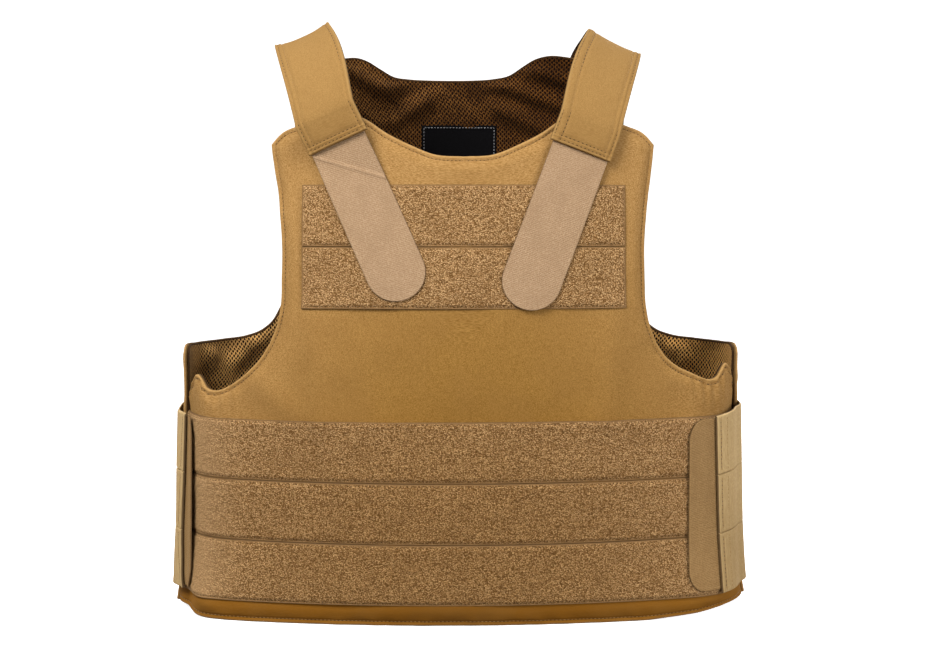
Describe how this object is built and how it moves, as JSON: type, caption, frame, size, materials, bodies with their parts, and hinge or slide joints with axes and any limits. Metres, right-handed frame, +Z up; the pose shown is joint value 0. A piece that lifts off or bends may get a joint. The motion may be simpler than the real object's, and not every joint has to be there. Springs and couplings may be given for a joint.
{
  "type": "armor carrier vest",
  "caption": "Soft armor carrier vest with padded front and back panels, hook-and-loop shoulder straps and elastic side closures, standing open on its hem.",
  "frame": {"origin": "under the middle of the vest's bounding box, on the plane that its hem stands on", "axes": "+Z up, -Y out of the chest, +X to the wearer's left"},
  "size_m": [0.524, 0.2212, 0.5283],
  "materials": {
    "tan_nylon": "matte",
    "tan_loop": "matte",
    "tan_hook": "matte",
    "tan_elastic": "matte",
    "brown_mesh": "matte",
    "black_label": "matte"
  },
  "bodies": {
    "root": {"front_panel": "tan_nylon", "back_panel": "tan_nylon", "front_lining": "brown_mesh", "back_lining": "brown_mesh", "chest_loop_upper": "tan_loop", "chest_loop_lower": "tan_loop", "belly_loop_upper": "tan_loop", "belly_loop_middle": "tan_loop", "belly_loop_lower": "tan_loop", "shoulder_strap_left": "tan_nylon", "shoulder_strap_right": "tan_nylon", "strap_hook_left": "tan_hook", "strap_hook_right": "tan_hook", "side_elastic_left_upper": "tan_elastic", "side_elastic_left_middle": "tan_elastic", "side_elastic_left_lower": "tan_elastic", "side_elastic_right_upper": "tan_elastic", "side_elastic_right_middle": "tan_elastic", "side_elastic_right_lower": "tan_elastic", "side_hook_left": "tan_hook", "side_hook_right": "tan_hook", "neck_label": "black_label"}
  },
  "joints": []
}
